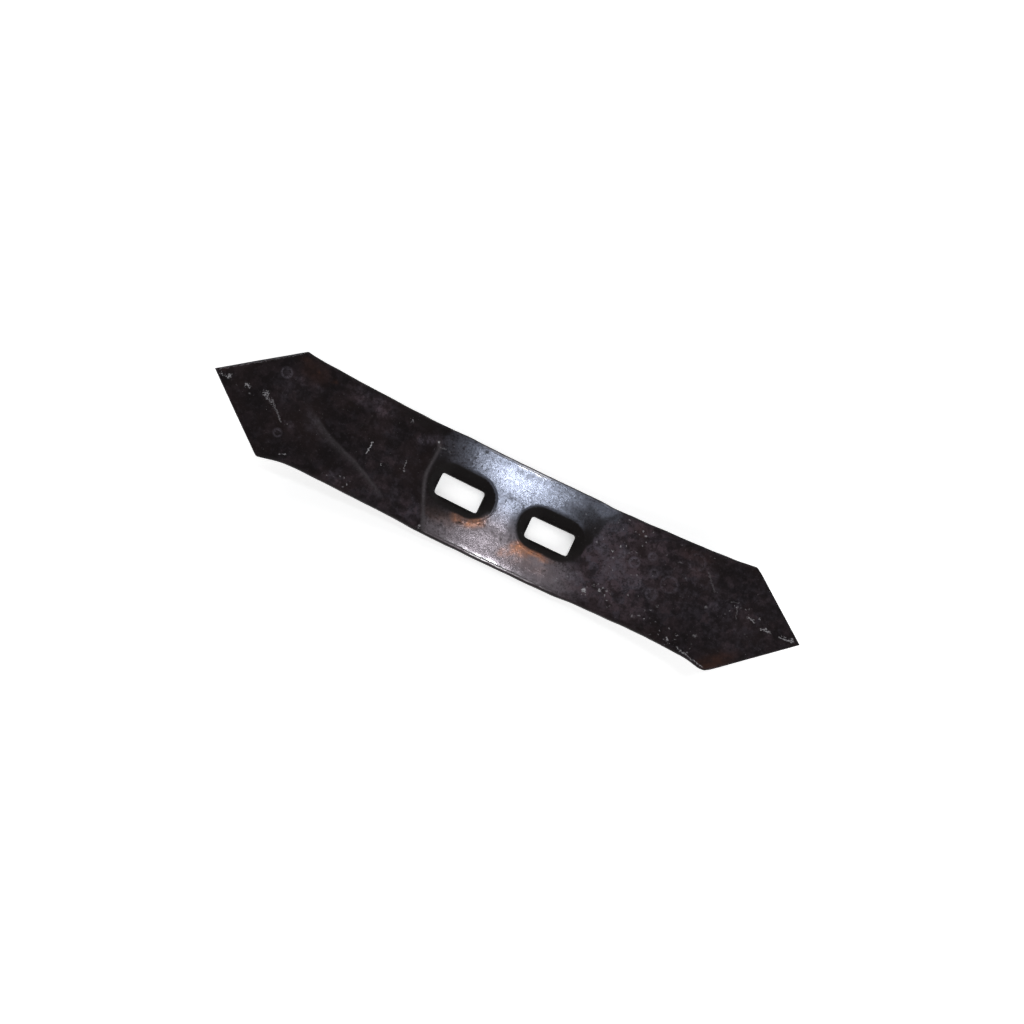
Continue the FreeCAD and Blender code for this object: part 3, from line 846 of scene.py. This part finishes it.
    def build(self, node: bpy.types.Object) -> bpy.types.Object:
        """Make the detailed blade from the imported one.

        Args:
            node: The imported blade.

        Returns:
            The new piece, at the origin.
        """
        metal = bmesh.new()
        metal.from_mesh(node.data)
        bmesh.ops.remove_doubles(metal, verts=metal.verts, dist=self.merge_gap)
        bmesh.ops.dissolve_limit(
            metal, angle_limit=self.flat_angle, verts=metal.verts, edges=metal.edges
        )
        self.cut_grid(metal)
        self.true_faces(metal)
        paint = self.paint(metal)
        self.forge(metal)
        mesh = bpy.data.meshes.new("blade")
        metal.to_mesh(mesh)
        metal.free()
        mesh.shade_smooth()
        mesh.set_sharp_from_angle(angle=self.sharp_angle)
        for layer, weights in paint.items():
            mesh.attributes.new(layer.value, "FLOAT", "POINT").data.foreach_set("value", weights)
        return put("blade", mesh)

    def cut_grid(self, metal: Metal) -> None:
        """Cut the blade into small cells, finer round the slots.

        Args:
            metal: The blade.
        """
        low, high = self.slot_zone_x
        reach_x, reach_y = self.cut_reach
        slice_mesh(metal, 0, self.places(reach_x, lambda x: low < abs(x) < high))
        slice_mesh(metal, 1, self.places(reach_y, lambda y: abs(y) < self.slot_zone_y))

    def places(self, reach: float, is_fine: Callable[[float], bool]) -> list[float]:
        """List the places of cuts across one direction.

        Args:
            reach: How far they go each way from the middle.
            is_fine: Tells whether a place lies where the cells are fine.

        Returns:
            The places in order.
        """
        found = []
        place = -reach
        while place < reach:
            found.append(place)
            place += self.fine_grid if is_fine(place) else self.grid
        return found

    def true_faces(self, metal: Metal) -> None:
        """Bring the facets of the two broad faces onto their true curves.

        Args:
            metal: The blade.
        """
        slack, aligned = 0.09 * MM, 0.99
        places, normals = points_of(metal)
        x, z = places[:, 0], places[:, 2]
        for height, side in ((self.front_height, 1), (self.back_height, -1)):
            level = height(x)
            slope = (height(np.abs(x) + MM) - height(np.abs(x))) / MM
            faces_out = side * (normals[:, 2] - np.sign(x) * slope * normals[:, 0]) / np.hypot(slope, 1)
            z[:] = np.where((np.abs(z - level) < slack) & (faces_out > aligned), level, z)
        move_points(metal, places)

    def forge(self, metal: Metal) -> None:
        """Work the unevenness of hand forging into the metal.

        Args:
            metal: The blade.
        """
        places, normals = points_of(metal)
        x, y = places[:, 0] / MM, places[:, 1] / MM
        depth = sum(swell.height * waver(places, swell.size, swell.shift) for swell in self.hammered)
        depth += np.where(normals[:, 2] > 0.5, self.front_relief(x, y), 0.0)
        places = places + normals * depth[:, None] * MM
        places[:, :2] += self.bend_outline(places)
        places[:, 2] = np.maximum(places[:, 2], 0.0)
        move_points(metal, places)

    def front_relief(self, x: Field, y: Field) -> Field:
        """Return the height of the creases, the crown and the raised lip on the front face.

        Args:
            x: The places along the blade, in millimetres.
            y: The places across it.

        Returns:
            The heights in millimetres.
        """
        side, share, gap = self.fold.nearest(x, y)
        steep, gentle = self.fold_sides
        spread = self.fold.width * (0.22 + 0.48 * (1 - share)) * np.where(side > 0, steep, gentle)
        ends = np.clip(np.minimum(6 * share, 5 * (1 - share)), 0, 1)
        fold = self.fold.height * ends * np.exp(-((gap / spread) ** 2))
        bead = self.bead.height * self.bead.ridge(x, y)
        reach_x, reach_y = self.crown_reach
        crown = -self.crown * (y / reach_y) ** 2 * np.exp(-((x / reach_x) ** 2))
        return fold + bead + crown + self.lip.weight(x, y)

    def bend_outline(self, places: Field) -> Field:
        """Work out how far the outline strays from its symmetrical form.

        Args:
            places: Points of the blade in metres.

        Returns:
            How far each point moves along and across the blade, in metres.
        """
        x, y = places[:, 0] / MM, places[:, 1] / MM
        half_width = self.half_width / MM
        along, across = np.zeros_like(x), np.zeros_like(x)
        for nudge in self.nudges:
            near = nudge.share(x, y, half_width)
            across += nudge.side * nudge.out * near
            along += nudge.along * near
        rims = np.stack((places[:, 0], np.copysign(7 * MM, y), 0 * x), axis=1)
        hold = np.minimum(1.0, np.abs(y) / half_width) ** 3
        across += self.edge_waver * hold * waver(rims, (self.edge_waver_length, 1, 1))
        beyond = np.maximum(0.0, np.abs(places[:, 0]) - self.shoulder)
        point = beyond / (self.half_length - self.shoulder)
        across += point * np.where(x > 0, self.right_tip_rise, self.left_tip_drop) / MM
        along += point * np.where(x > 0, self.right_tip_reach, 0.0) / MM
        return np.stack((along, across), axis=1) * MM

    def paint(self, metal: Metal) -> dict[Layer, Field]:
        """Work out where each layer lies on the blade.

        Args:
            metal: The blade.

        Returns:
            A weight for each layer and point.
        """
        places, normals = points_of(metal)
        x, y = places[:, 0] / MM, places[:, 1] / MM
        facing = ramp(normals[:, 2], *self.front_lean)
        on_front = facing * (places[:, 2] > self.front_height(places[:, 0]) - self.front_depth)
        flat, size = places * (1, 1, 0), (self.paint_stray_length,) * 3
        stray_x = x + self.paint_stray[0] * waver(flat, size, 3)
        stray_y = y + self.paint_stray[1] * waver(flat, size, 9)
        weights = {}
        for layer in Layer:
            weight = np.zeros_like(x)
            for patch in PATCHES.get(layer, ()):
                weight = np.maximum(weight, patch.weight(stray_x, stray_y))
            weights[layer] = on_front * weight
        weights[Layer.FRONT] = on_front
        # A lighter line painted along the bead, and a painted highlight along the fold's lit flank.
        bead = self.bead_tint * self.bead.ridge(x, y)
        weights[Layer.CREASE] = on_front * np.maximum(self.fold_highlight(x, y), bead)
        weights[Layer.BURNISH] *= self.burnish_border.left_of(stray_x, stray_y)
        shaded = self.haze_border.left_of(stray_x, stray_y)
        weights[Layer.HAZE] *= 1 - shaded * (x > 0)
        weights[Layer.SOOT_AND_SHADE] *= np.where(x > 30, shaded, 1.0)
        # Painted shade in and round the recesses is added to the black layer here.
        weights[Layer.SOOT_AND_SHADE] = np.maximum(weights[Layer.SOOT_AND_SHADE], self.soot_and_shade(places, normals))
        return weights

    def fold_highlight(self, x: Field, y: Field) -> Field:
        """Tell how strong the painted highlight on the fold is, broad on its lower-left flank.

        Args:
            x: The places along the blade, in millimetres.
            y: The places across it.

        Returns:
            The fold's tint on it, falling to 0 beside it and at its ends.
        """
        side, share, gap = self.fold.nearest(x, y)
        first, last = self.fold_tint
        band = np.where(side > 0, 0.7, 3.2 - 2.4 * share)
        ends = np.clip(6 * np.minimum(share, 1 - share), 0, 1)
        return (first + (last - first) * share) * ends * np.exp(-((gap / band) ** 2))

    def soot_and_shade(self, places: Field, normals: Field) -> Field:
        """Tell how dark the painted shade is in and near the bolt-head recesses and on their steep rims.

        Args:
            places: Points of the blade in metres.
            normals: Which way its surface faces at each.

        Returns:
            1 inside a recess, falling to 0 just outside its rim.
        """
        x, y, z = places.T
        shift_x, shift_y = self.recess_shade_shift
        beyond = np.maximum(0.0, np.abs(np.abs(x - shift_x) - self.slot_centre) - self.seat_straight)
        gap = np.maximum(0.0, np.hypot(beyond, y - shift_y) - self.seat_radius) / self.recess_shade_reach
        # Painted shade on the steep parts of the recess rims, towards the upper side.
        steep_rim_shade = (1 - ramp(normals[:, 2], *self.rim_shade_lean)) * ramp(y, *self.rim_shade_side)
        steep_rim_shade *= gap < self.rim_shade_reach
        soot_and_shade_dark = np.maximum(steep_rim_shade, np.exp(-(gap**3)))
        return np.where(z > self.back_height(x) + self.back_clear, soot_and_shade_dark, 0.0)


def put(name: str, data: bpy.types.ID) -> bpy.types.Object:
    """Put a new object in the scene.

    Args:
        name: Its name.
        data: Its mesh, light or camera.

    Returns:
        The object, at the origin.
    """
    item = bpy.data.objects.new(name, data)
    bpy.context.scene.collection.objects.link(item)
    return item


def points_of(metal: Metal) -> tuple[Field, Field]:
    """Return the places and normals of a mesh's points, one row for each."""
    metal.normal_update()
    places = np.array([vert.co for vert in metal.verts])
    return places, np.array([vert.normal for vert in metal.verts])


def move_points(metal: Metal, places: Field) -> None:
    """Put a mesh's points at new places."""
    for vert, place in zip(metal.verts, places):
        vert.co = place


def ramp(values: Field, low: float, high: float) -> Field:
    """Return 0 below low, 1 above high, and an even slope between them."""
    return np.clip((values - low) / (high - low), 0, 1)


def mixed(shares: Sequence[float], signals: Sequence[Signal]) -> Signal:
    """Return the sum of some signals, each times its share."""
    first, *others = (share * signal for share, signal in zip(shares, signals))
    return sum(others, first)


def waver(places: Field, size: Triple, shift: float = 0.0) -> Field:
    """Return soft random values from -1 to 1 at places in metres, with swells sized in millimetres."""
    spots = places / MM / size + (0.0, 0.0, shift)
    return np.array([noise.noise(Vector(spot)) for spot in spots])


PATCHES: dict[Layer, tuple[Patch, ...]] = {
    Layer.BURNISH: records(
        Patch,
        (4, 21, 34, 17), (0, -2, 12, 19, 0.8), (0, -22, 30, 14, 0.92), (-25, -24, 15, 9, 0.46),
        (24, -20, 18, 11, 0.68), (44, 23, 8, 5, 0.6),
    ),
    # Near-white edge strips, partly painted highlight along the rounded long edges where the glint lamps
    # reflect.
    Layer.POLISH_AND_HIGHLIGHT: records(
        Patch,
        (1, -25.5, 12, 0.9, 1, -1, 2), (-14, -24.8, 12, 0.7, 0.25, -1), (22, -25.7, 12, 0.8, 0.3),
        (4, 25.6, 10, 0.8, 0.6), (-10, 26.2, 16, 0.7, 0.35),
    ),
    Layer.HAZE: records(
        Patch,
        (58, -1, 17, 15, 0.8), (50, 3, 9, 12, 0.8, 0, 2.5), (42, -17, 16, 9, 0.7), (56, 16, 9, 7, 0.6),
        (72, -3, 9, 8, 0.7), (66, -16, 20, 9, 0.45), (88, 5, 26, 22, 0.24), (122, 0, 26, 20, 0.18),
        (-84, 20, 12, 4, 0.42), (-77, 18.5, 6, 3, 0.6), (-119, 13, 4, 2, 0.32), (-110, 13, 3, 2, 0.28),
        (-113, -9, 3, 2, 0.28), (-122, 4, 3, 5, 0.26), (81, 10.5, 2.4, 1.6, 0.45),
        (88.5, 14.5, 1.8, 1.4, 0.5), (112, 1, 4, 2.5, 0.4), (120, 4, 4, 4, 0.25), (126, -7, 5, 4, 0.3),
        (-104, -3, 9, 4, 0.22, -30), (-84, -22, 7, 3.5, 0.35), (-62, -18, 20, 8, 0.22),
        (-52, 15.5, 6, 2.5, 0.4, 15), (-47, 18, 3, 3, 0.4), (-121, 8, 9, 9, 0.16),
        (-64, -4, 16, 10, 0.12), (-72, 12, 8, 4, 0.18), (100, 15, 9, 6, 0.4),
        (-49, -22.5, 11, 1.3, 0.4, -13), (-43, -19.5, 5, 5, 0.4), (74, 18, 9, 6, 0.45),
        (65, 22, 9, 3, 0.5, -5),
    ),
    Layer.TEMPER: records(
        Patch,
        (-13, -11, 5.5, 2.6, 0.75, 28), (-20, -12.5, 5, 2.6, 0.5, 8), (-9, -7.5, 2.5, 2.5, 0.35),
        (14, -13, 6, 3.4, 0.65, 20), (21.5, -11.6, 6, 2, 0.85, 18), (27, -12.5, 4, 1.8, 0.4, 10),
        (8, -17.5, 5, 2.4, 0.35, 30), (-28, -16, 9, 3.4, 0.08), (18, -18, 14, 4, 0.1),
    ),
    Layer.RUST: records(
        Patch,
        (124, -22, 9, 3.5, 0.55, 38), (120, -26, 4, 2.5, 0.6), (-114, 20, 8, 5, 0.28),
        (-120, 24, 4, 2, 0.3), (-112.5, 21, 1.2, 1, 0.8), (-104, 20, 1.5, 1, 0.6), (95, 20, 9, 4, 0.25),
        (98, 16, 6, 4, 0.2), (65, 21, 4, 3, 0.25), (-154, 2, 3, 1.5, 0.3, 35),
    ),
    Layer.SCUFF: records(
        Patch,
        (-154, -1.2, 3.2, 1, 0.55), (-149.5, -0.8, 1.2, 0.9, 0.9), (-140, -0.6, 1.6, 1.5, 0.7),
        (-131, -0.6, 3, 1.5, 0.62), (-126, -3.5, 3.6, 0.9, 0.55, -45), (-115, -9, 2.2, 0.8, 0.35, 15),
        (-62, 20.5, 1, 1.2, 0.5), (-37, -25.4, 0.7, 1, 0.8), (51.5, -18, 1.6, 1, 0.7),
        (131.5, 2.2, 2, 0.7, 0.8, -8), (139, 0.7, 1.4, 0.8, 0.7), (149, 0.7, 2, 0.6, 0.6),
        # The scuffs along the lower right edge are partly wear, partly painted highlight on its rounded
        # edge.
        (152.5, 1, 1.5, 0.8, 0.7), (112, -26.9, 3, 0.7, 0.8, -12), (107, -25.6, 2, 0.6, 0.6, -10),
        (103, -24.5, 1.6, 0.7, 0.5, -10), (97.5, -23.5, 1, 1.4, 0.4), (43, 13.5, 0.5, 1.4, 0.5, 10),
        (36.8, 16.5, 0.6, 1.5, 0.45, 20),
    ),
    Layer.SPECKLE: records(
        Patch,
        (-82, -21, 7, 5, 0.8), (-67, -10, 5, 5, 0.8), (-57, -5, 4, 4, 0.6), (60, -15, 12, 6, 0.7),
        (62, 17, 12, 7, 0.8), (90, -18, 14, 6, 0.5), (104, -24, 9, 3), (-131, -1, 6, 4, 0.8),
        (-142, -1, 6, 4, 0.6), (-78, 12, 4, 3, 0.6), (118, 5, 8, 6, 0.5), (40, 0, 60, 30, 0.25),
    ),
    # Black patches on the scale, and painted shade at the ends of the bolt-head recesses and along the
    # top edge.
    Layer.SOOT_AND_SHADE: records(
        Patch,
        (-39.5, 5, 4, 9), (40, 3, 5.5, 9.5, 0.95, -12, 4), (43, 13, 6, 6, 0.8),
        (35, 16, 6, 3.5, 0.55, -10), (49, 21, 4, 1.6, 0.7, 40), (-19.8, -14.4, 1.2, 0.6, 1, 20),
        (-21.3, 23.7, 0.8, 1, 0.8), (29, -17.8, 1.2, 0.6, 0.7), (-58, 23.5, 13, 3.4, 0.7),
        (-32, -13, 8, 4.5, 0.58), (39, 18.5, 5, 3, 0.45), (4, 23.2, 26, 1.7, 0.09), (7, -2, 3.5, 6, 0.36),
    ),
}


def slice_mesh(mesh: Metal, axis: int, places: Sequence[float]) -> None:
    """Cut a mesh by planes square to one axis, without taking anything away.

    Args:
        mesh: The mesh.
        axis: 0 for X, 1 for Y, 2 for Z.
        places: Where the planes stand, in order.
    """
    near = 0.1 * MM
    normal = Vector((0.0, 0.0, 0.0))
    normal[axis] = 1.0
    pending: list[tuple[Sequence[float], list]] = [(places, [*mesh.verts, *mesh.edges, *mesh.faces])]
    while pending:
        rest, geometry = pending.pop()
        if not rest:
            continue
        middle = len(rest) // 2
        plane = normal * rest[middle]
        cut = bmesh.ops.bisect_plane(mesh, geom=geometry, dist=near, plane_co=plane, plane_no=normal)
        low, high = split_at(cut["geom"], axis, rest[middle], near)
        pending.append((rest[:middle], low))
        pending.append((rest[middle + 1 :], high))


def split_at(geometry: Iterable, axis: int, place: float, near: float) -> tuple[list, list]:
    """Sort parts of a mesh by the side of a plane that they lie on.

    Args:
        geometry: Its vertices, edges and faces.
        axis: The axis that the plane is square to.
        place: Where the plane stands.
        near: How near the plane a vertex counts for both sides.

    Returns:
        What lies below the plane, and what lies above it.
    """
    low, high = [], []
    for item in geometry:
        if isinstance(item, bmesh.types.BMVert):
            value = item.co[axis]
            if value < place + near:
                low.append(item)
            if value > place - near:
                high.append(item)
        else:
            value = sum(vert.co[axis] for vert in item.verts) / len(item.verts)
            (low if value < place else high).append(item)
    return low, high


@dataclass(frozen=True)
class Lamp:
    """A round, soft lamp that points at the blade, in metres and watts."""

    name: str
    place: Triple
    size: float
    power: float
    colour: Colour = (1.0, 1.0, 1.0)

    def hang(self) -> None:
        """Put the lamp in the scene."""
        light = bpy.data.lights.new(self.name, "AREA")
        light.shape = "DISK"
        light.size = self.size
        light.energy = self.power
        light.color = self.colour
        lamp = put(self.name, light)
        turn = (-Vector(self.place)).to_track_quat("-Z", "Y").to_matrix().to_4x4()
        lamp.matrix_world = Matrix.Translation(self.place) @ turn
        lamp.visible_camera = False


@dataclass
class Studio:
    """The floor, the lamps, the white walls and the camera. Lengths are in metres."""

    lamps: tuple[Lamp, ...] = (
        Lamp("key", (0.33, 0.61, 2.93), 0.34, 8.8, (0.95, 0.98, 1.0)),
        Lamp("left_fill", (-0.80, 0.75, 0.80), 0.80, 7.8),
        Lamp("right_fill", (0.80, -0.75, 0.80), 0.80, 7.6),
        Lamp("upper_edge_glint", (0.10, 1.15, 0.96), 0.60, 1.9),
        Lamp("lower_edge_glint", (0.08, -1.20, 0.86), 0.36, 2.0),
    )
    eye: Triple = (-0.06363, -0.09721, 0.69829)
    image_right: Triple = (0.89697, 0.41877, 0.14166)
    image_down: Triple = (0.43264, -0.89741, -0.08650)
    view: Triple = (0.09090, 0.13887, -0.98613)
    focal_pixels: float = 1397.64
    axis_pixel: Pair = (506.19, 513.85)
    picture_pixels: float = 1024.0
    sensor: float = 36.0
    nearest: float = 0.01
    floor_size: float = 30.0
    wall_glow: float = 1.0
    ceiling_glow: float = 0.07
    wall_fade: Pair = (0.25, 0.62)

    def build(self) -> None:
        """Set up everything round the blade."""
        self.lay_floor()
        self.light_walls()
        for lamp in self.lamps:
            lamp.hang()
        self.aim_camera()
        bpy.context.scene.view_settings.view_transform = "Standard"

    def lay_floor(self) -> None:
        """Lay the floor that the blade rests on."""
        mesh = bpy.data.meshes.new("floor")
        plane = bmesh.new()
        bmesh.ops.create_grid(plane, x_segments=1, y_segments=1, size=self.floor_size / 2)
        plane.to_mesh(mesh)
        plane.free()
        mesh.materials.append(PaleFloor().make())
        floor = put("floor", mesh)

    def light_walls(self) -> None:
        """Make the surroundings: white all round, and dark overhead as under a high ceiling."""
        world = bpy.data.worlds.new("studio")
        bench = FinishBench(world)
        towards = bench.add("ShaderNodeTexCoord", output="Generated")
        height = bench.add("ShaderNodeSeparateXYZ", inputs={0: towards}, output="Z")
        glow = self.wall_glow + (self.ceiling_glow - self.wall_glow) * height.rise(*self.wall_fade)
        shade = bench.blend(glow, (0.0, 0.0, 0.0), (1.0, 1.0, 1.0))
        background = bench.add("ShaderNodeBackground", inputs={"Color": shade})
        bench.add("ShaderNodeOutputWorld", inputs={"Surface": background})
        bpy.context.scene.world = world

    def aim_camera(self) -> None:
        """Set the camera where the photograph was taken from."""
        data = bpy.data.cameras.new("camera")
        data.sensor_fit = "HORIZONTAL"
        data.sensor_width = self.sensor
        data.lens = self.focal_pixels / self.picture_pixels * self.sensor
        data.shift_x = (self.picture_pixels / 2 - self.axis_pixel[0]) / self.picture_pixels
        data.shift_y = (self.axis_pixel[1] - self.picture_pixels / 2) / self.picture_pixels
        data.clip_start = self.nearest
        camera = put("camera", data)
        up, back = -Vector(self.image_down), -Vector(self.view)
        turn = Matrix((self.image_right, up, back))
        camera.matrix_world = Matrix.Translation(self.eye) @ turn.transposed().to_4x4()
        bpy.context.scene.camera = camera


def main() -> None:
    """Build the blade and its studio."""
    logging.basicConfig(level=logging.INFO, format="%(name)s: %(message)s")
    form = ForgedBlade()
    blade = form.build(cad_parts[form.node])
    blade.data.materials.clear()
    blade.data.materials.append(ForgeScale().make())
    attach(blade, "root")
    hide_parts(form.node)
    blade.data.calc_loop_triangles()
    LOG.info("blade: %d triangles", len(blade.data.loop_triangles))
    Studio().build()
    LOG.info("studio: floor, lamps and camera")


if __name__ == "__main__":
    main()
